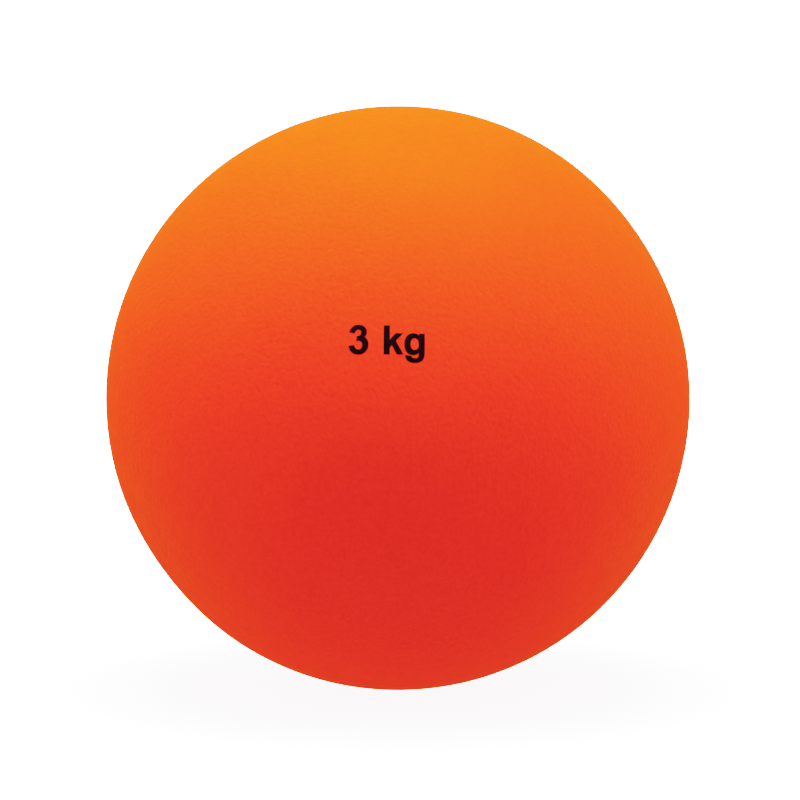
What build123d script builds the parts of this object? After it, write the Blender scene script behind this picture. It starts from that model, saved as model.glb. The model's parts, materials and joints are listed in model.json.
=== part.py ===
from build123d import *
from math import sqrt, radians, sin, cos
import os

# ---------------------------------------------------------------------------
# Sand-filled medicine ball of soft moulded PVC, 3 kg.
# Millimetres. The origin is the centre of the ball, +Z is up. The filling
# opening with its bung and pull-out plug lies at the +Y pole, at the back, and
# the weight mark is printed on the front, the -Y side.
# ---------------------------------------------------------------------------

# Shell
ball_r = 77.5            # outer radius, 155 mm ball
wall = 4.0               # moulded wall
inner_r = ball_r - wall

# Filling opening at the +Y pole: a counterbore for the bung's flange, a port
# for its body, and a thickened boss inside that carries the port
seat_r = 11.15           # counterbore radius
seat_y = 74.70           # height of the seat that the flange rests on
port_r = 8.00
boss_r = 12.5
boss_end_y = 66.0
boss_root_fillet = 3.0
boss_rim_fillet = 1.0
ring_r = 15.0            # witness ring left by the mould's filling insert
ring_groove_r = 0.40     # radius of the ring's round groove

# Filler bung, pushed and glued into the port once the sand is in
flange_r = 11.0
flange_dome_r = 77.40    # the flange carries the ball's curve, 0.1 mm below it
flange_edge = 0.30
bung_r = 7.95            # 0.05 mm of solvent cement around the body
barb_r = 8.70            # barb that snaps out under the boss
barb_y = 65.85
bung_end_y = 62.5
bung_tip_r = 7.20
bore_r = 2.70            # plug bore
recess_r = 6.20          # recess that sinks the plug's head
recess_floor_y = 75.40
notch_r = 2.6            # thumbnail notch beside the plug's head
notch_out = 6.6          # its centre, from the bore's axis
notch_floor_y = 75.70

# Pull-out valve plug
head_r = 5.90
head_under_y = 75.45
head_dome_r = 77.15
head_edge = 0.35
shank_r = 2.65           # 0.05 mm all round in the bore
shank_taper_y = 63.2
shank_tip_y = 61.0
shank_tip_r = 1.80
groove_depth = 0.22      # grip grooves round the shank
groove_width = 0.80
groove_ys = (72.6, 70.2, 67.8)
gate_r = 0.90            # moulding gate dimple in the head
gate_depth = 0.15

# Sand charge: fills the shell, with a pocket round the boss and the bung
sand_r = 73.3
pocket_r = 13.6
pocket_y = 60.6

# Printed weight mark
mark_cap = 6.76          # the printing plate's cap height
mark_elevation = 13.0    # its centre, above the front pole
mark_azimuth = -1.95     # and towards -X
ink_proud = 0.04         # ink film above the ball's surface
ink_key = 0.05           # and keyed into it
mark_units = mark_cap / 100
mark_centre = (132.1, 48.6)  # centre of the line of lettering, in letter units


def on_sphere(radius, r):
    """Height y on a sphere about the origin at distance r from the Y axis."""
    return sqrt(radius**2 - r**2)


# ---------------------------------------------------------------------------
# Shell: one moulded skin, turned about the Y axis
# ---------------------------------------------------------------------------
with BuildPart() as shell:
    with BuildSketch(Plane.XY) as shell_profile:
        with BuildLine() as shell_outline:
            ThreePointArc(
                (0, -ball_r), (ball_r, 0), (seat_r, on_sphere(ball_r, seat_r))
            )
            Polyline(
                (seat_r, on_sphere(ball_r, seat_r)),
                (seat_r, seat_y),
                (port_r, seat_y),
                (port_r, boss_end_y),
                (boss_r, boss_end_y),
                (boss_r, on_sphere(inner_r, boss_r)),
            )
            ThreePointArc(
                (boss_r, on_sphere(inner_r, boss_r)), (inner_r, 0), (0, -inner_r)
            )
            Line((0, -inner_r), (0, -ball_r))
        make_face()
    revolve(axis=Axis.Y)
    # Root of the boss against the inside of the wall, then its open rim
    rings = shell.edges().filter_by(GeomType.CIRCLE)
    root = [
        e
        for e in rings
        if abs(e.radius - boss_r) < 0.01
        and abs(e.arc_center.Y - on_sphere(inner_r, boss_r)) < 0.01
    ]
    fillet(root, radius=boss_root_fillet)
    rim = [
        e
        for e in shell.edges().filter_by(GeomType.CIRCLE)
        if abs(e.radius - boss_r) < 0.01 and abs(e.arc_center.Y - boss_end_y) < 0.01
    ]
    fillet(rim, radius=boss_rim_fillet)
    # Mouth of the port, eased so that the bung's barb can pass
    mouth = [
        e
        for e in shell.edges().filter_by(GeomType.CIRCLE)
        if abs(e.radius - port_r) < 0.01 and abs(e.arc_center.Y - boss_end_y) < 0.01
    ]
    chamfer(mouth, length=0.5)
    # Witness ring round the opening
    with BuildSketch(Plane.XY) as ring_profile:
        with Locations((ring_r, on_sphere(ball_r, ring_r))):
            Circle(ring_groove_r)
    revolve(axis=Axis.Y, mode=Mode.SUBTRACT)
shell.part.label = "shell"

# ---------------------------------------------------------------------------
# Filler bung: flange on the seat, body in the port, barb under the boss
# ---------------------------------------------------------------------------
with BuildPart() as valve_bung:
    with BuildSketch(Plane.XY) as bung_profile:
        with BuildLine() as bung_outline:
            ThreePointArc(
                (recess_r, on_sphere(flange_dome_r, recess_r)),
                (0.5 * (recess_r + flange_r), on_sphere(flange_dome_r, 0.5 * (recess_r + flange_r))),
                (flange_r, on_sphere(flange_dome_r, flange_r)),
            )
            Polyline(
                (flange_r, on_sphere(flange_dome_r, flange_r)),
                (flange_r, seat_y),
                (bung_r, seat_y),
                (bung_r, barb_y + 0.60),
                (barb_r, barb_y - 0.35),
                (barb_r, barb_y - 0.95),
                (bung_tip_r, bung_end_y),
                (bore_r, bung_end_y),
                (bore_r, recess_floor_y),
                (recess_r, recess_floor_y),
                (recess_r, on_sphere(flange_dome_r, recess_r)),
            )
        make_face()
    revolve(axis=Axis.Y)
    # Soft outer edge of the flange and eased edge of the head recess
    soft = [
        e
        for e in valve_bung.edges().filter_by(GeomType.CIRCLE)
        if abs(e.radius - flange_r) < 0.01 and e.arc_center.Y > seat_y + 1.0
    ]
    fillet(soft, radius=flange_edge)
    eased = [
        e
        for e in valve_bung.edges().filter_by(GeomType.CIRCLE)
        if abs(e.radius - recess_r) < 0.01 and e.arc_center.Y > recess_floor_y + 1.0
    ]
    fillet(eased, radius=0.25)
    # Lead-in of the plug bore
    lead = [
        e
        for e in valve_bung.edges().filter_by(GeomType.CIRCLE)
        if abs(e.radius - bore_r) < 0.01 and abs(e.arc_center.Y - recess_floor_y) < 0.01
    ]
    chamfer(lead, length=0.35)
    # Thumbnail notch that reaches under the edge of the plug's head
    with BuildSketch(Plane.XZ.offset(-notch_floor_y)) as notch_profile:
        with Locations((0, notch_out)):
            Circle(notch_r)
    extrude(amount=-4, mode=Mode.SUBTRACT)
valve_bung.part.label = "valve_bung"

# ---------------------------------------------------------------------------
# Valve plug: domed head in the recess, with the gate's dimple in its middle, and
# a grooved shank in the bore
# ---------------------------------------------------------------------------
with BuildPart() as valve_plug:
    with BuildSketch(Plane.XY) as plug_profile:
        with BuildLine() as plug_outline:
            Polyline(
                (0, shank_tip_y),
                (0, head_dome_r - gate_depth),
                (gate_r - 0.25, head_dome_r - gate_depth),
                (gate_r, on_sphere(head_dome_r, gate_r)),
            )
            ThreePointArc(
                (gate_r, on_sphere(head_dome_r, gate_r)),
                (0.6 * head_r, on_sphere(head_dome_r, 0.6 * head_r)),
                (head_r, on_sphere(head_dome_r, head_r)),
            )
            Polyline(
                (head_r, on_sphere(head_dome_r, head_r)),
                (head_r, head_under_y),
                (shank_r, head_under_y),
                (shank_r, shank_taper_y),
                (shank_tip_r, shank_tip_y),
                (0, shank_tip_y),
            )
        make_face()
    revolve(axis=Axis.Y)
    crown = [
        e
        for e in valve_plug.edges().filter_by(GeomType.CIRCLE)
        if abs(e.radius - head_r) < 0.01
    ]
    fillet(crown, radius=head_edge)
    tip = [
        e
        for e in valve_plug.edges().filter_by(GeomType.CIRCLE)
        if abs(e.radius - shank_tip_r) < 0.01
    ]
    fillet(tip, radius=0.4)
    # Grip grooves round the shank
    with BuildSketch(Plane.XY) as groove_profile:
        for y in groove_ys:
            with Locations((shank_r, y)):
                RectangleRounded(2 * groove_depth, groove_width, 0.15)
    revolve(axis=Axis.Y, mode=Mode.SUBTRACT)
valve_plug.part.label = "valve_plug"

# ---------------------------------------------------------------------------
# Sand charge: a closed ball with a pocket that clears the boss and the bung
# ---------------------------------------------------------------------------
with BuildPart() as sand_fill:
    with BuildSketch(Plane.XY) as sand_profile:
        with BuildLine() as sand_outline:
            ThreePointArc(
                (0, -sand_r),
                (sand_r, 0),
                (pocket_r + 3.0, on_sphere(sand_r, pocket_r + 3.0)),
            )
            Polyline(
                (pocket_r + 3.0, on_sphere(sand_r, pocket_r + 3.0)),
                (pocket_r, on_sphere(sand_r, pocket_r) - 4.0),
                (pocket_r, pocket_y + 3.0),
                (pocket_r - 3.0, pocket_y),
                (0, pocket_y),
                (0, -sand_r),
            )
        make_face()
    revolve(axis=Axis.Y)
sand_fill.part.label = "sand_fill"

# ---------------------------------------------------------------------------
# Weight mark: ink film in plain bold sans letterforms. The outlines are in
# letter units, 100 to the printing plate's cap height, with its baseline at 0
# and the left of its figure at 0; the ink has spread about one unit past the
# plate's edges. Each outline is a start point and its following segments: two
# numbers are a straight line's end, six are a cubic's two controls and end.
# ---------------------------------------------------------------------------
figure_three = [
    (1.5, 77.6),
    (3.7, 93.7, 15.7, 104.2, 32.0, 104.2),
    (49.3, 104.2, 62.4, 93.7, 62.4, 80.3),
    (62.4, 71.6, 58.7, 64.2, 54.3, 61.0),
    (62.1, 57.5, 67.9, 47.0, 67.9, 34.3),
    (67.9, 14.5, 53.4, -1.1, 34.0, -1.1),
    (14.7, -1.1, 1.2, 11.4, -1.0, 30.6),
    (18.7, 32.8),
    (20.3, 22.7, 25.9, 17.2, 33.5, 17.2),
    (41.6, 17.2, 46.6, 23.6, 46.6, 33.3),
    (46.6, 41.9, 41.1, 47.4, 34.0, 47.4),
    (31.6, 47.4, 29.7, 47.1, 25.5, 46.2),
    (27.7, 64.7),
    (38.1, 64.2, 42.6, 69.1, 42.6, 76.8),
    (42.6, 83.0, 39.1, 86.9, 33.0, 86.9),
    (26.8, 86.9, 21.8, 82.8, 20.8, 74.3),
    (1.5, 77.6),
]
letter_k = [
    (120.9, 101.4),
    (141.7, 101.4),
    (141.7, 50.8),
    (161.8, 73.4),
    (187.6, 73.4),
    (162.9, 47.1),
    (188.9, -0.8),
    (166.3, -0.8),
    (149.2, 31.4),
    (141.7, 23.4),
    (141.7, -0.8),
    (120.9, -0.8),
    (120.9, 101.4),
]
letter_g = [
    (262.4, 73.0),
    (262.4, 4.9),
    (262.4, -17.6, 251.6, -29.8, 229.0, -29.8),
    (208.0, -29.8, 196.0, -20.8, 195.2, -2.5),
    (216.6, -5.0),
    (218.2, -11.0, 221.5, -13.5, 229.0, -13.5),
    (238.8, -13.5, 241.8, -9.4, 241.8, 0.9),
    (241.8, 6.0),
    (239.0, 1.9, 231.4, -2.7, 222.3, -2.7),
    (203.9, -2.7, 191.8, 13.4, 191.8, 35.4),
    (191.8, 58.2, 204.3, 74.5, 222.3, 74.5),
    (231.9, 74.5, 239.7, 70.2, 242.8, 65.8),
    (242.8, 73.0),
    (262.4, 73.0),
]
bowl_g = [
    (213.6, 35.9),
    (213.6, 23.6, 219.4, 15.3, 227.6, 15.3),
    (236.3, 15.3, 242.0, 23.6, 242.0, 35.7),
    (242.0, 48.5, 236.3, 56.3, 227.4, 56.3),
    (219.0, 56.3, 213.6, 48.5, 213.6, 35.9),
]


def outline(segments):
    """Draws one closed letter outline into the line builder in use."""

    def place(x, y):
        return ((x - mark_centre[0]) * mark_units, (y - mark_centre[1]) * mark_units)

    last = place(*segments[0])
    for segment in segments[1:]:
        points = [place(*segment[i : i + 2]) for i in range(0, len(segment), 2)]
        if len(points) == 1:
            Line(last, points[0])
        else:
            Bezier(last, *points)
        last = points[-1]


# The mark's plane touches the ball at the mark's centre, level with the ground
e, a = radians(mark_elevation), radians(mark_azimuth)
mark_normal = Vector(sin(a) * cos(e), -cos(a) * cos(e), sin(e))
mark_plane = Plane(
    origin=mark_normal * ball_r, x_dir=(cos(a), sin(a), 0), z_dir=mark_normal
)

with BuildPart() as weight_mark:
    with BuildSketch(mark_plane) as letters:
        for letter in (figure_three, letter_k, letter_g):
            with BuildLine():
                outline(letter)
            make_face()
        with BuildLine():
            outline(bowl_g)
        make_face(mode=Mode.SUBTRACT)
    extrude(amount=1.0, both=True)
    # The film keeps the ball's curve on both faces
    Sphere(radius=ball_r + ink_proud, mode=Mode.INTERSECT)
    Sphere(radius=ball_r - ink_key, mode=Mode.SUBTRACT)
# The three letters as one group, in reading order
mark_letters = Compound(weight_mark.part.solids().sort_by(Axis.X), label="weight_mark")

# ---------------------------------------------------------------------------
os.makedirs("parts", exist_ok=True)
export_step(shell.part, "parts/shell.step")
export_step(valve_bung.part, "parts/valve_bung.step")
export_step(valve_plug.part, "parts/valve_plug.step")
export_step(sand_fill.part, "parts/sand_fill.step")
export_step(mark_letters, "parts/weight_mark.step")
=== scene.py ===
import json
import math

import bpy
import numpy as np
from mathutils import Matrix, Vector, noise


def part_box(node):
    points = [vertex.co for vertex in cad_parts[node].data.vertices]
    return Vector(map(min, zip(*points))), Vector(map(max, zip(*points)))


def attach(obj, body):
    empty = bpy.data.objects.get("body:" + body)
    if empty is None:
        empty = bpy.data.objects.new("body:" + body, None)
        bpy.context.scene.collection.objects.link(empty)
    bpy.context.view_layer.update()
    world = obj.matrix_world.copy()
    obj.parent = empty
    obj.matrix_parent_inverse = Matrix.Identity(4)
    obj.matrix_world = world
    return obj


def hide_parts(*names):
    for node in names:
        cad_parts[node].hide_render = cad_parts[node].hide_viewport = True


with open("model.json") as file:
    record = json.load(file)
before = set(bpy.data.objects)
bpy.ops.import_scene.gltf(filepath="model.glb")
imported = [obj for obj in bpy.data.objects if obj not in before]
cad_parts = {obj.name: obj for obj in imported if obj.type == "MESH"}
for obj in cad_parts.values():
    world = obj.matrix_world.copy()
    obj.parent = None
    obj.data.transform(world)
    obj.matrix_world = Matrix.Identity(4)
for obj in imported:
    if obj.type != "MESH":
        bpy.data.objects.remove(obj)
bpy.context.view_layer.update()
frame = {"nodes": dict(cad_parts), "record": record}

MM = 0.001
rec = frame["record"]
R = [m for m in rec["mounts"] if m["name"] == "floor_rest"][0]["dims"]["r_mm"] * MM
WALL = 4.0 * MM
mark_lo, mark_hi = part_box("weight_mark")
bung_lo, bung_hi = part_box("valve_bung")
sand_lo, sand_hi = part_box("sand_fill")
MARK_DIR = ((mark_lo + mark_hi) / 2).normalized()
# two slight flats in the soft shell, set from the reference's outline: direction, depth, angle
FLATS = (
    (Vector((math.cos(math.radians(33)), 0.0, math.sin(math.radians(33)))), 0.00044, 22.0),
    (Vector((math.cos(math.radians(217)), 0.0, math.sin(math.radians(217)))), 0.00046, 16.0),
)


# ---------------------------------------------------------------------------
# Shell: outer skin, valve seat, port, boss and inner wall in one closed mesh
# ---------------------------------------------------------------------------
def smooth(a, b, x):
    t = min(1.0, max(0.0, (x - a) / (b - a)))
    return t * t * (3 - 2 * t)


def skin_offset(d):
    """How far the moulded skin stands off the true sphere in direction d."""
    away = 1 - smooth(math.cos(math.radians(13)), math.cos(math.radians(8.5)), d.dot(MARK_DIR))
    away *= 1 - smooth(0.9, 0.965, d.y)
    p = d * R
    soft = (
        0.055 * noise.noise(p * 21.0 + Vector((3.1, 7.7, 1.3)))
        + 0.022 * noise.noise(p * 62.0 + Vector((9.4, 2.2, 5.8)))
        + 0.010 * noise.noise(p * 190.0 + Vector((1.9, 4.4, 8.2)))
    )
    off = away * soft * MM
    for way, deep, wide in FLATS:
        off -= deep * math.exp(-((math.degrees(d.angle(way)) / wide) ** 2))
    # the mould's parting line: a fine trimmed bead on the great circle
    # square to the valve's axis, a little uneven along its length
    y = abs(p.y) / MM
    if y < 0.6:
        ang = math.atan2(d.z, d.x)
        along = Vector((math.cos(ang), math.sin(ang), 0.0))
        tall = 0.060 + 0.030 * noise.noise(along * 3.1) + 0.018 * noise.noise(along * 23.0)
        lip = 0.5 + 0.5 * math.cos(math.pi * min(1.0, y / 0.42))
        moat = -0.012 * math.exp(-(((y - 0.48) / 0.07) ** 2))
        off += (max(0.015, tall) * lip + moat) * MM
    return off


def build_shell(n=92):
    cols = 4 * n
    verts, faces = [], []

    def ring_dirs(lat):
        """One ring of directions; lat is a function of the column's angle."""
        out = []
        for i in range(cols):
            phi = 2 * math.pi * i / cols
            a = (phi + math.pi / 4) % (math.pi / 2) - math.pi / 4
            la = lat(a)
            out.append(Vector((math.cos(la) * math.cos(phi), math.sin(la), math.cos(la) * math.sin(phi))))
        return out

    rings = []

    def add_skin(lat):
        ids = []
        for d in ring_dirs(lat):
            ids.append(len(verts))
            verts.append(d * (R + skin_offset(d)))
        rings.append(ids)

    def border(a):
        return math.atan(math.cos(a))

    half = n // 2
    for j in range(half, 0, -1):
        add_skin(lambda a, s=j / half: -s * border(a))
    for h in (0.78, 0.58, 0.48, 0.38, 0.28, 0.18, 0.09, 0.0):
        add_skin(lambda a, h=h: -h * MM / R)
    for h in (0.09, 0.18, 0.28, 0.38, 0.48, 0.58, 0.78):
        add_skin(lambda a, h=h: h * MM / R)
    for j in range(1, half + 1):
        add_skin(lambda a, s=j / half: s * border(a))
    lat_c = math.pi / 2 - math.asin(19.0 * MM / R)
    steps = 32
    for k in range(1, steps + 1):
        add_skin(lambda a, w=k / steps: border(a) + (lat_c - border(a)) * w)
    # the mould insert's witness ring: a fine round groove with a soft lip
    for r in (17.8, 16.8, 16.1, 15.7, 15.5, 15.4, 15.32, 15.22, 15.1, 15.0, 14.9, 14.78, 14.68, 14.6, 14.5, 14.3, 13.9, 13.2, 12.5, 11.95):
        ids = []
        x = abs(r - 15.0)
        dip = -math.sqrt(max(0.0, 0.40**2 - x * x)) if x < 0.40 else 0.0
        lip = 0.03 * math.exp(-(((x - 0.52) / 0.10) ** 2))
        la = math.pi / 2 - math.asin(r * MM / R)
        for d in ring_dirs(lambda a, la=la: la):
            ids.append(len(verts))
            verts.append(d * (R + skin_offset(d) + (0.9 * dip + lip) * MM))
        rings.append(ids)

    def add_ring(r, y):
        ids = []
        for i in range(cols):
            phi = 2 * math.pi * i / cols
            ids.append(len(verts))
            verts.append(Vector((r * math.cos(phi), y, r * math.sin(phi))) * MM)
        rings.append(ids)

    rmm, inner = R / MM, (R - WALL) / MM
    top = math.sqrt(rmm**2 - 11.15**2)
    # rolled rim of the seat, its wall, the seat itself and the port
    for t in (0.0, 0.25, 0.5, 0.75, 1.0):
        q = t * math.pi / 2
        add_ring(11.15 + 0.22 * (1 - math.sin(q)), math.sqrt(rmm**2 - 11.37**2) - 0.22 * (1 - math.cos(q)) + (0.0 if t else 0.0))
    for r, y in (
        (11.15, 76.0), (11.15, 75.2), (11.15, 74.82), (11.11, 74.73), (11.02, 74.70),
        (10.2, 74.70), (9.2, 74.70), (8.25, 74.70), (8.08, 74.66), (8.00, 74.55),
        (8.00, 72.5), (8.00, 70.5), (8.00, 68.5), (8.00, 66.6), (8.06, 66.45),
        (8.42, 66.09), (8.56, 66.0), (9.6, 66.0), (10.8, 66.0), (11.5, 66.0),
        (11.88, 66.08), (12.21, 66.29), (12.42, 66.62), (12.5, 67.0),
        (12.5, 67.9), (12.5, 68.8),
    ):
        add_ring(r, y)
    # the boss runs into the inside of the wall through a generous fillet
    f = 3.0
    rc = 12.5 + f
    yc = math.sqrt((inner - f) ** 2 - rc**2)
    th_end = math.atan2(yc, rc)
    for k in range(0, 9):
        a0, a1 = math.pi, math.pi + 0.0
        q = math.pi - (math.pi - th_end) * k / 8
        add_ring(rc + f * math.cos(q), yc + f * math.sin(q))
    lat0 = th_end
    inner_rings = 34
    for k in range(1, inner_rings):
        la = lat0 + (-math.pi / 2 - lat0) * k / inner_rings
        add_ring(inner * math.cos(la), inner * math.sin(la))
    for a, b in zip(rings, rings[1:]):
        for i in range(cols):
            j = (i + 1) % cols
            faces.append((a[i], b[i], b[j], a[j]))
    pole = len(verts)
    verts.append(Vector((0, -inner * MM, 0)))
    last = rings[-1]
    for i in range(cols):
        faces.append((last[i], pole, last[(i + 1) % cols]))
    # front cap: an even square patch, so the skin has no pole at the front
    first = rings[0]
    grid = {}
    for iu in range(n + 1):
        for iv in range(n + 1):
            al = (iu / n - 0.5) * math.pi / 2
            be = (iv / n - 0.5) * math.pi / 2
            if iu in (0, n) or iv in (0, n):
                # columns run from +X towards +Z
                ang = math.atan2(math.tan(be), math.tan(al)) % (2 * math.pi)
                grid[iu, iv] = first[int(round(ang / (2 * math.pi) * cols)) % cols]
            else:
                d = Vector((math.tan(al), -1.0, math.tan(be))).normalized()
                grid[iu, iv] = len(verts)
                verts.append(d * (R + skin_offset(d)))
    for iu in range(n):
        for iv in range(n):
            faces.append((grid[iu, iv], grid[iu + 1, iv], grid[iu + 1, iv + 1], grid[iu, iv + 1]))
    return verts, faces


# ---------------------------------------------------------------------------
# Sand: a closed ball a little uneven where it packs against the wall, with the
# pocket that the boss and the bung push into it
# ---------------------------------------------------------------------------
def build_sand(cols=160, steps=84):
    verts, faces, rings = [], [], []
    full = -sand_lo.y / MM
    start = math.asin(16.6 / full)
    profile = [
        (3.6, 60.6), (7.2, 60.6), (10.2, 60.6), (10.65, 60.65), (12.1, 62.1),
        (13.5, 63.5), (13.6, 63.9), (13.6, 65.3), (13.6, 66.7), (13.6, 67.9),
        (13.9, 68.37), (14.8, 69.38), (15.7, 70.39), (16.4, 71.17),
    ]
    profile += [
        (full * math.sin(t), full * math.cos(t))
        for t in (start + (math.pi - start) * k / steps for k in range(steps))
    ]
    for r, y in profile:
        ids = []
        for i in range(cols):
            phi = 2 * math.pi * i / cols
            p = Vector((r * math.cos(phi), y, r * math.sin(phi)))
            deep = 0.0
            if p.length > 73.0:
                deep = 0.12 + 0.10 * noise.noise(p * 0.045) + 0.06 * noise.noise(p * 0.16)
            ids.append(len(verts))
            verts.append((p - p.normalized() * max(0.0, deep)) * MM)
        rings.append(ids)
    for a, b in zip(rings, rings[1:]):
        for i in range(cols):
            j = (i + 1) % cols
            faces.append((a[i], b[i], b[j], a[j]))
    for ring, y in ((rings[0], 60.6), (rings[-1], -full + 0.12)):
        pole = len(verts)
        verts.append(Vector((0, y, 0)) * MM)
        faces += [(ring[i], pole, ring[(i + 1) % cols]) for i in range(cols)]
    return verts, faces


def make_mesh(name, verts, faces):
    me = bpy.data.meshes.new(name)
    me.from_pydata([tuple(v) for v in verts], [], faces)
    me.update()
    import bmesh

    bm = bmesh.new()
    bm.from_mesh(me)
    bmesh.ops.recalc_face_normals(bm, faces=bm.faces)
    bm.to_mesh(me)
    bm.free()
    me.polygons.foreach_set("use_smooth", [True] * len(me.polygons))
    ob = bpy.data.objects.new(name, me)
    bpy.context.scene.collection.objects.link(ob)
    return ob


# ---------------------------------------------------------------------------
# Materials
# ---------------------------------------------------------------------------
class Nodes:
    """A short way to write a material's nodes."""

    def __init__(self, name):
        self.mat = bpy.data.materials.new(name)
        self.mat.use_nodes = True
        self.t = self.mat.node_tree
        self.t.nodes.clear()
        self.out = self.t.nodes.new("ShaderNodeOutputMaterial")
        self.bsdf = self.t.nodes.new("ShaderNodeBsdfPrincipled")
        self.t.links.new(self.bsdf.outputs[0], self.out.inputs[0])
        self.co = self.t.nodes.new("ShaderNodeTexCoord").outputs["Object"]

    def link(self, a, b):
        self.t.links.new(a, b)

    def set(self, **kw):
        for k, v in kw.items():
            self.bsdf.inputs[k.replace("_", " ")].default_value = v

    def math(self, op, a, b=None, c=None, clamp=False):
        n = self.t.nodes.new("ShaderNodeMath")
        n.operation = op
        n.use_clamp = clamp
        for i, v in enumerate((a, b, c)):
            if v is None:
                continue
            if isinstance(v, (int, float)):
                n.inputs[i].default_value = v
            else:
                self.link(v, n.inputs[i])
        return n.outputs[0]

    def noise(self, scale, detail=2.0, rough=0.5, vector=None, distortion=0.0):
        n = self.t.nodes.new("ShaderNodeTexNoise")
        n.inputs["Scale"].default_value = scale
        n.inputs["Detail"].default_value = detail
        n.inputs["Roughness"].default_value = rough
        n.inputs["Distortion"].default_value = distortion
        self.link(vector or self.co, n.inputs["Vector"])
        return n.outputs["Fac"]

    def cells(self, scale, vector=None, feature="F1"):
        n = self.t.nodes.new("ShaderNodeTexVoronoi")
        n.feature = feature
        n.inputs["Scale"].default_value = scale
        self.link(vector or self.co, n.inputs["Vector"])
        return n.outputs["Distance"]

    def mapped(self, scale=(1, 1, 1), rot=(0, 0, 0), loc=(0, 0, 0)):
        n = self.t.nodes.new("ShaderNodeMapping")
        n.inputs["Scale"].default_value = scale
        n.inputs["Rotation"].default_value = rot
        n.inputs["Location"].default_value = loc
        self.link(self.co, n.inputs["Vector"])
        return n.outputs[0]

    def ramp(self, fac, stops):
        n = self.t.nodes.new("ShaderNodeValToRGB")
        e = n.color_ramp.elements
        while len(e) > 1:
            e.remove(e[-1])
        e[0].position, e[0].color = stops[0][0], self.rgba(stops[0][1])
        for p, c in stops[1:]:
            x = e.new(p)
            x.color = self.rgba(c)
        self.link(fac, n.inputs[0])
        return n.outputs[0]

    @staticmethod
    def rgba(c):
        return (c, c, c, 1) if isinstance(c, (int, float)) else (*c[:3], 1)

    def mix(self, fac, a, b, mode="MIX"):
        n = self.t.nodes.new("ShaderNodeMix")
        n.data_type = "RGBA"
        n.blend_type = mode
        for v, i in ((fac, 0), (a, 6), (b, 7)):
            if isinstance(v, (int, float)) and i == 0:
                n.inputs[i].default_value = v
            elif isinstance(v, tuple):
                n.inputs[i].default_value = (*v[:3], 1)
            else:
                self.link(v, n.inputs[i])
        return n.outputs[2]

    def range(self, v, a, b, c, d):
        n = self.t.nodes.new("ShaderNodeMapRange")
        for i, x in zip((1, 2, 3, 4), (a, b, c, d)):
            n.inputs[i].default_value = x
        self.link(v, n.inputs[0])
        return n.outputs[0]

    def bump(self, height, strength, distance, normal=None):
        n = self.t.nodes.new("ShaderNodeBump")
        n.inputs["Strength"].default_value = strength
        n.inputs["Distance"].default_value = distance
        self.link(height, n.inputs["Height"])
        if normal is not None:
            self.link(normal, n.inputs["Normal"])
        return n.outputs[0]

    def xyz(self):
        n = self.t.nodes.new("ShaderNodeSeparateXYZ")
        self.link(self.co, n.inputs[0])
        return n.outputs


ORANGE = (0.825, 0.0577, 0.0133)


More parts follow.
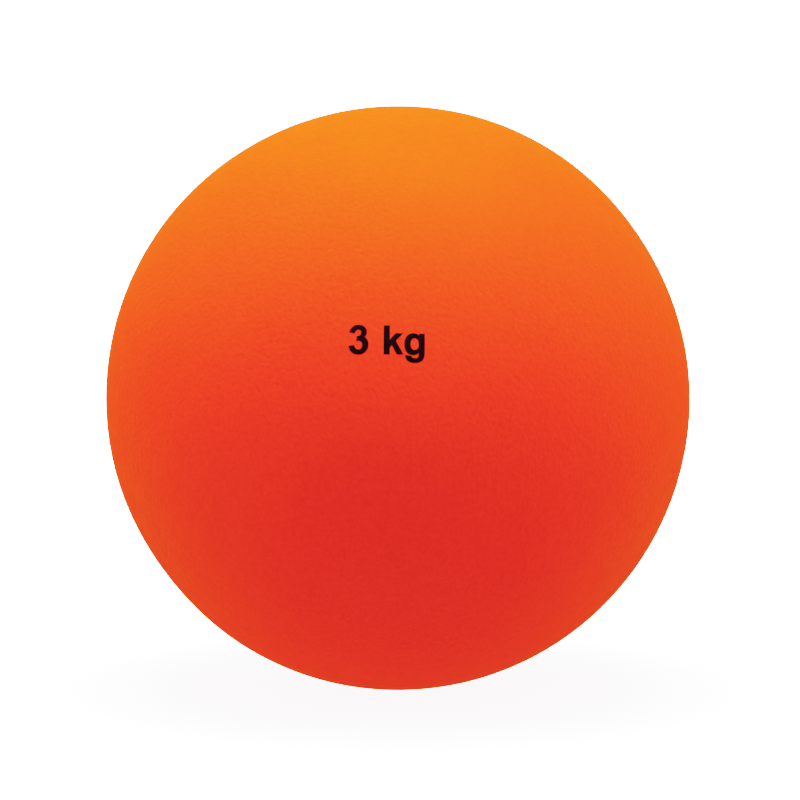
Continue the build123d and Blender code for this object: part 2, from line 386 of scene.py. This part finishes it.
def shell_material():
    m = Nodes("soft_pvc_orange")
    x, y, z = m.xyz()
    # pigment: broad cloudiness from the moulding, then a fine mottle
    cloud = m.noise(24.0, 3.0, 0.55)
    mottle = m.noise(640.0, 3.0, 0.6)
    speck = m.noise(1150.0, 2.0, 0.6)
    deep = tuple(c * k for c, k in zip(ORANGE, (0.985, 0.965, 0.98)))
    pale = tuple(c * k for c, k in zip(ORANGE, (1.015, 1.035, 1.02)))
    col = m.mix(m.range(cloud, 0.3, 0.7, 0.0, 1.0), deep, pale)
    col = m.mix(1.0, col, m.ramp(m.range(mottle, 0.25, 0.75, 0.0, 1.0), ((0.0, 0.945), (1.0, 1.055))), "MULTIPLY")
    col = m.mix(1.0, col, m.ramp(m.range(speck, 0.25, 0.75, 0.0, 1.0), ((0.0, 0.925), (1.0, 1.075))), "MULTIPLY")
    # handling: faint paler rubs, gathered in a few places
    rub_a = m.noise(230.0, 4.0, 0.65, m.mapped((1.0, 0.22, 1.0), (0.3, 0.5, 0.9)), 0.6)
    rub_b = m.noise(15.0, 1.0, 0.5, m.mapped(loc=(0.31, 0.12, 0.44)))
    rub = m.math("MULTIPLY", m.range(rub_a, 0.60, 0.74, 0.0, 1.0), m.range(rub_b, 0.52, 0.66, 0.0, 1.0), clamp=True)
    col = m.mix(m.math("MULTIPLY", rub, 0.07), col, (0.90, 0.20, 0.085))
    # the parting line, the valve's witness ring and the seat's rim are painted a darker orange, broken up by noise,
    # and made a little rougher
    line = m.range(m.math("ABSOLUTE", y), 0.00022, 0.00062, 1.0, 0.0)
    rad = m.math("SQRT", m.math("ADD", m.math("MULTIPLY", x, x), m.math("MULTIPLY", z, z)))
    back = m.math("GREATER_THAN", y, 0.06)
    ring = m.math("MULTIPLY", m.range(m.math("ABSOLUTE", m.math("SUBTRACT", rad, 0.0150)), 0.00015, 0.00055, 1.0, 0.0), back)
    rim = m.math("MULTIPLY", m.range(m.math("ABSOLUTE", m.math("SUBTRACT", rad, 0.0112)), 0.00010, 0.00110, 1.0, 0.0), back)
    painted_darker_break = m.range(m.noise(160.0, 3.0, 0.6), 0.35, 0.65, 0.35, 1.0)
    painted_darker = m.math("MULTIPLY", m.math("MAXIMUM", m.math("MULTIPLY", line, 0.32), m.math("MAXIMUM", m.math("MULTIPLY", ring, 0.5), m.math("MULTIPLY", rim, 0.55))), painted_darker_break, clamp=True)
    col = m.mix(painted_darker, col, (0.42, 0.045, 0.014))
    m.link(col, m.bsdf.inputs["Base Color"])
    rough = m.range(m.noise(210.0, 3.0, 0.6), 0.3, 0.7, 0.54, 0.64)
    rough = m.math("ADD", rough, m.math("MULTIPLY", rub, 0.10))
    rough = m.math("ADD", rough, m.math("MULTIPLY", painted_darker, 0.15), clamp=True)
    m.link(rough, m.bsdf.inputs["Roughness"])
    # orange peel of the moulded skin, and the mould's fine blasted grain
    peel = m.noise(820.0, 2.0, 0.5)
    grain = m.noise(2100.0, 2.0, 0.6)
    nrm = m.bump(peel, 0.75, 0.00018)
    nrm = m.bump(grain, 0.40, 0.00006, nrm)
    m.link(nrm, m.bsdf.inputs["Normal"])
    m.set(IOR=1.5)
    m.bsdf.inputs["Specular IOR Level"].default_value = 0.04
    return m.mat


def bung_material():
    m = Nodes("bung_pvc")
    mottle = m.noise(520.0, 3.0, 0.6)
    cloud = m.noise(90.0, 2.0, 0.5)
    x, y, z = m.xyz()
    col = m.mix(m.range(mottle, 0.3, 0.7, 0, 1), (0.76, 0.0545, 0.0128), (0.83, 0.0620, 0.0138))
    col = m.mix(1.0, col, m.ramp(m.range(cloud, 0.3, 0.7, 0, 1), ((0.0, 0.93), (1.0, 1.0))), "MULTIPLY")
    rad = m.math("SQRT", m.math("ADD", m.math("MULTIPLY", x, x), m.math("MULTIPLY", z, z)))
    # the ring round the plug's hole and the flange's outer edge are painted a darker orange, broken up by noise
    well = m.range(m.math("ABSOLUTE", m.math("SUBTRACT", rad, 0.0061)), 0.00005, 0.00050, 0.5, 0.0)
    edge = m.range(rad, 0.0104, 0.0110, 0.0, 0.45)
    painted_darker = m.math("MULTIPLY", m.math("MAXIMUM", well, edge), m.range(m.noise(260.0, 3.0, 0.6), 0.35, 0.65, 0.4, 1.0), clamp=True)
    col = m.mix(painted_darker, col, (0.36, 0.04, 0.013))
    m.link(col, m.bsdf.inputs["Base Color"])
    m.link(m.range(m.noise(300.0, 3.0, 0.6), 0.3, 0.7, 0.38, 0.50), m.bsdf.inputs["Roughness"])
    nrm = m.bump(m.noise(900.0, 3.0, 0.55), 0.35, 0.00008)
    m.link(nrm, m.bsdf.inputs["Normal"])
    m.bsdf.inputs["Specular IOR Level"].default_value = 0.10
    return m.mat


def plug_material():
    m = Nodes("plug_pvc")
    x, y, z = m.xyz()
    mottle = m.noise(420.0, 3.0, 0.6)
    col = m.mix(m.range(mottle, 0.3, 0.7, 0, 1), (0.76, 0.74, 0.67), (0.86, 0.85, 0.80))
    rad = m.math("SQRT", m.math("ADD", m.math("MULTIPLY", x, x), m.math("MULTIPLY", z, z)))
    # the plug's outer edge and the ring of its centre dimple are painted a darker brown, broken up by noise
    edge = m.range(rad, 0.0052, 0.0059, 0.0, 0.45)
    dimple = m.range(m.math("ABSOLUTE", m.math("SUBTRACT", rad, 0.00075)), 0.00002, 0.00022, 0.35, 0.0)
    painted_darker = m.math("MULTIPLY", m.math("MAXIMUM", edge, dimple), m.range(m.noise(300.0, 3.0, 0.6), 0.35, 0.65, 0.3, 1.0), clamp=True)
    col = m.mix(painted_darker, col, (0.40, 0.33, 0.24))
    m.link(col, m.bsdf.inputs["Base Color"])
    m.link(m.range(m.noise(260.0, 3.0, 0.6), 0.3, 0.7, 0.34, 0.48), m.bsdf.inputs["Roughness"])
    nrm = m.bump(m.noise(1100.0, 3.0, 0.55), 0.30, 0.00006)
    m.link(nrm, m.bsdf.inputs["Normal"])
    m.bsdf.inputs["Specular IOR Level"].default_value = 0.4
    return m.mat


def sand_material():
    m = Nodes("quartz_sand")
    grain = m.cells(1500.0)
    patch = m.noise(60.0, 3.0, 0.6)
    tint = m.noise(1900.0, 2.0, 0.7)
    col = m.mix(m.range(tint, 0.3, 0.7, 0, 1), (0.42, 0.31, 0.19), (0.72, 0.61, 0.44))
    col = m.mix(1.0, col, m.ramp(patch, ((0.3, 0.85), (0.7, 1.0))), "MULTIPLY")
    col = m.mix(1.0, col, m.ramp(grain, ((0.0, 1.0), (0.7, 0.55))), "MULTIPLY")
    m.link(col, m.bsdf.inputs["Base Color"])
    m.link(m.range(tint, 0.3, 0.7, 0.55, 0.9), m.bsdf.inputs["Roughness"])
    m.link(m.bump(grain, 0.8, 0.0003), m.bsdf.inputs["Normal"])
    return m.mat


def ink_material():
    m = Nodes("black_ink")
    patch = m.noise(700.0, 3.0, 0.6)
    fine = m.noise(3200.0, 2.0, 0.6)
    col = m.mix(m.range(patch, 0.35, 0.65, 0, 1), (0.0175, 0.0072, 0.0026), (0.0240, 0.0096, 0.0036))
    thin = m.range(fine, 0.70, 0.80, 0.0, 0.35)
    col = m.mix(thin, col, (0.10, 0.015, 0.007))
    m.link(col, m.bsdf.inputs["Base Color"])
    m.link(m.range(patch, 0.3, 0.7, 0.50, 0.62), m.bsdf.inputs["Roughness"])
    m.link(m.bump(m.noise(1500.0, 2.0, 0.5), 0.25, 0.00004), m.bsdf.inputs["Normal"])
    m.bsdf.inputs["Specular IOR Level"].default_value = 0.03
    return m.mat


# ---------------------------------------------------------------------------
# Pieces
# ---------------------------------------------------------------------------
v, f = build_shell()
shell = make_mesh("shell_skin", v, f)
shell.data.materials.append(shell_material())
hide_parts("shell")
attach(shell, "ball")

v, f = build_sand()
sand = make_mesh("sand_charge", v, f)
sand.data.materials.append(sand_material())
sand.data.set_sharp_from_angle(angle=math.radians(35))
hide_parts("sand_fill")
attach(sand, "ball")


def dress(node, material, angle=35.0):
    ob = frame["nodes"][node]
    me = ob.data
    me.materials.clear()
    me.materials.append(material)
    me.polygons.foreach_set("use_smooth", [True] * len(me.polygons))
    me.set_sharp_from_angle(angle=math.radians(angle))
    return ob


dress("valve_bung", bung_material())
dress("valve_plug", plug_material())
dress("weight_mark", ink_material(), 60.0)

# ---------------------------------------------------------------------------
# Stage: a white floor and backdrop that light nothing, so that the ball takes
# its light from the studio's lamps alone, as if it stood on a plain light table
# ---------------------------------------------------------------------------
FLOOR_Z = -R - 0.00006


def stage_material(name, albedo, glow):
    mat = bpy.data.materials.new(name)
    mat.use_nodes = True
    b = mat.node_tree.nodes["Principled BSDF"]
    b.inputs["Base Color"].default_value = (albedo, albedo, albedo, 1)
    b.inputs["Roughness"].default_value = 0.9
    b.inputs["Specular IOR Level"].default_value = 0.0
    b.inputs["Emission Color"].default_value = (1, 1, 1, 1)
    b.inputs["Emission Strength"].default_value = glow
    return mat


def floor_material():
    """White paper that glows, brightest beyond the ball; its glow is painted dimmer where the ball rests, a painted
    shadow added to the faint real shadow that the ball casts from the lamps.
    """
    mat = stage_material("floor_white", 0.80, 2.75)
    t = mat.node_tree
    b = t.nodes["Principled BSDF"]
    co = t.nodes.new("ShaderNodeTexCoord").outputs["Object"]
    flat = t.nodes.new("ShaderNodeVectorMath")
    flat.operation = "MULTIPLY"
    flat.inputs[1].default_value = (1, 1, 0)
    t.links.new(co, flat.inputs[0])
    far = t.nodes.new("ShaderNodeVectorMath")
    far.operation = "LENGTH"
    t.links.new(flat.outputs[0], far.inputs[0])
    # painted shadow: the glow falls from 2.75 far out to 1.45 within about 5 cm of the ball's foot
    glow = t.nodes.new("ShaderNodeMapRange")
    glow.interpolation_type = "SMOOTHSTEP"
    for i, v in zip((1, 2, 3, 4), (0.05, 0.28, 1.45, 2.75)):
        glow.inputs[i].default_value = v
    t.links.new(far.outputs["Value"], glow.inputs[0])
    t.links.new(glow.outputs[0], b.inputs["Emission Strength"])
    return mat


def stage_piece(name, verts, faces, mat):
    me = bpy.data.meshes.new(name)
    me.from_pydata(verts, [], faces)
    me.update()
    me.materials.append(mat)
    ob = bpy.data.objects.new(name, me)
    bpy.context.scene.collection.objects.link(ob)
    ob.visible_diffuse = False
    ob.visible_glossy = False
    ob.visible_transmission = False
    ob.visible_shadow = False
    return ob


D = 5.0
floor = stage_piece(
    "floor",
    [(-D, -D, FLOOR_Z), (D, -D, FLOOR_Z), (D, D, FLOOR_Z), (-D, D, FLOOR_Z)],
    [(0, 1, 2, 3)],
    floor_material(),
)
wall_v, wall_f = [], []
for i in range(48):
    a = 2 * math.pi * i / 48
    wall_v += [(4.8 * math.cos(a), 4.8 * math.sin(a), FLOOR_Z - 0.01), (4.8 * math.cos(a), 4.8 * math.sin(a), 4.0)]
for i in range(48):
    j = (i + 1) % 48
    wall_f.append((2 * i, 2 * j, 2 * j + 1, 2 * i + 1))
wall_f.append(tuple(2 * i + 1 for i in range(48)))
stage_piece("backdrop", wall_v, wall_f, stage_material("backdrop_white", 0.0, 2.75))

# ---------------------------------------------------------------------------
# Studio light: soft lamps all round. Their powers, and the room's levels below,
# were found by least squares, so that the ball's colours match the reference's.
# They are no real studio's settings.
# ---------------------------------------------------------------------------
def area(name, loc, size, power, target=(0, 0, 0), size_y=None):
    li = bpy.data.lights.new(name, "AREA")
    li.shape = "RECTANGLE"
    li.size, li.size_y = size, size_y or size
    li.energy = power
    ob = bpy.data.objects.new(name, li)
    bpy.context.scene.collection.objects.link(ob)
    ob.location = loc
    ob.rotation_mode = "QUATERNION"
    ob.rotation_quaternion = (Vector(target) - Vector(loc)).to_track_quat("-Z", "Y")
    ob.visible_camera = False
    return ob


def lamp(name, azimuth, elevation, distance, size, power):
    """A square softbox; azimuth runs from the camera's side towards +X."""
    az, el = math.radians(azimuth), math.radians(elevation)
    d = Vector((math.sin(az) * math.cos(el), -math.cos(az) * math.cos(el), math.sin(el)))
    return area(name, d * distance, size, power)


lamp("overhead", 0, 90, 1.2, 0.9, 15.69)
lamp("high_front_left", -45, 55, 1.2, 0.9, 3.52)
lamp("high_front_right", 45, 55, 1.2, 0.9, 3.31)
lamp("high_left", -90, 35, 1.3, 0.9, 2.14)
lamp("high_right", 90, 35, 1.3, 0.9, 1.28)
lamp("high_back_left", -135, 55, 1.2, 0.9, 1.40)
lamp("high_back_right", 135, 55, 1.2, 0.9, 0.59)
lamp("level_right", 90, 0, 1.3, 0.9, 3.20)
lamp("level_back_left", -120, 0, 1.3, 0.9, 0.67)
lamp("level_back_right", 120, 0, 1.3, 0.9, 0.13)
lamp("low_left", -90, -30, 1.3, 0.9, 2.00)
lamp("low_back_left", -120, -25, 1.3, 0.9, 1.81)
lamp("low_back_right", 120, -25, 1.3, 0.9, 1.81)
lamp("low_front", 0, -60, 1.0, 1.2, 2.98)
lamp("low_forward", 0, -35, 1.4, 1.0, 0.14)
lamp("beneath", 0, -90, 0.9, 1.4, 0.20)

# the room: pale above, dimmer below
world = bpy.data.worlds.new("studio")
world.use_nodes = True
wt = world.node_tree
sky = wt.nodes["Background"]
sky.inputs[0].default_value = (1, 1, 1, 1)
way = wt.nodes.new("ShaderNodeSeparateXYZ")
wt.links.new(wt.nodes.new("ShaderNodeTexCoord").outputs["Generated"], way.inputs[0])


def between(source, a, b, lo, hi):
    n = wt.nodes.new("ShaderNodeMapRange")
    n.interpolation_type = "SMOOTHSTEP"
    for i, v in zip((1, 2, 3, 4), (a, b, lo, hi)):
        if isinstance(v, float):
            n.inputs[i].default_value = v
        else:
            wt.links.new(v, n.inputs[i])
    wt.links.new(source, n.inputs[0])
    return n.outputs[0]


below = between(way.outputs[1], -0.25, 0.25, 0.153, 0.180)
wt.links.new(between(way.outputs[2], -0.12, 0.12, below, 0.3177), sky.inputs[1])
bpy.context.scene.world = world

# ---------------------------------------------------------------------------
# Camera: a long lens a little above the ball's middle. Its distance is set so
# that the ball fills the frame as it does in the reference.
# ---------------------------------------------------------------------------
ELEV = math.radians(3.0)
DIST = 0.59452
cam_data = bpy.data.cameras.new("camera")
cam_data.lens = 100.0
cam_data.sensor_width = 36.0
cam_data.clip_start, cam_data.clip_end = 0.05, 60.0
cam = bpy.data.objects.new("camera", cam_data)
bpy.context.scene.collection.objects.link(cam)
cam.location = (0, -DIST * math.cos(ELEV), DIST * math.sin(ELEV))
fpx = 800 * 100.0 / 36.0
cam.rotation_mode = "XYZ"
cam.rotation_euler = (math.pi / 2 - ELEV - 2.0 / fpx, 0, -2.0 / fpx)
bpy.context.scene.camera = cam

# ---------------------------------------------------------------------------
# Tone curves: a contrasty one with a long shoulder, and another for blue. Each
# point is the scene's light and the level out of 255. Both were fitted to the
# reference's colours and are no real film's. Blue is held up where the orange
# lies and joins the others only in the pale colours, so a dark neutral colour
# comes out olive.
# ---------------------------------------------------------------------------
vs = bpy.context.scene.view_settings
vs.view_transform = "Standard"
vs.look = "None"
vs.exposure = 0.0
vs.gamma = 1.0

PRINT = (
    (0.0, 0), (0.002979, 0.6), (0.00432, 3.212), (0.006264, 7.21), (0.009083, 12.78), (0.01317, 20.67),
    (0.0191, 31.4), (0.02769, 45.48), (0.04015, 63.44), (0.05822, 88.15), (0.08442, 113.9), (0.1224, 141.7),
    (0.1775, 170.9), (0.2574, 198.4), (0.3732, 221.3), (0.5411, 236.7), (0.7846, 241.9), (0.9, 242.8),
)
PRINT_BLUE = (
    (0.0, 0), (0.0018, 1.5), (0.0036, 6), (0.0054, 20), (0.00684, 36), (0.007632, 39.3), (0.009, 39.4),
    (0.009864, 38.6), (0.01109, 37.9), (0.01274, 36.9), (0.01476, 36.2), (0.01699, 35.8), (0.01958, 35.4),
    (0.02304, 34.6), (0.02887, 33.5), (0.04082, 31.9), (0.0576, 31.4), (0.086, 33), (0.1224, 141.7),
    (0.1775, 170.9), (0.2574, 198.4), (0.3732, 221.3), (0.5411, 236.7), (0.7846, 241.9),
    (0.9, 242.8),
)
WHITE = PRINT[-1][0]


def linear(level):
    s = level / 255.0
    return s / 12.92 if s <= 0.04045 else ((s + 0.055) / 1.055) ** 2.4


vs.use_curve_mapping = True
cm = vs.curve_mapping
cm.white_level = (WHITE, WHITE, WHITE)
cm.extend = "EXTRAPOLATED"
cm.use_clip = False
for curve, table in zip(cm.curves, (PRINT, PRINT, PRINT_BLUE)):
    for x, level in table[1:-1]:
        curve.points.new(x / WHITE, linear(level))
    curve.points[0].location = (0.0, 0.0)
    curve.points[-1].location = (1.0, linear(table[-1][1]))
    for p in curve.points:
        p.handle_type = "VECTOR"
cm.update()
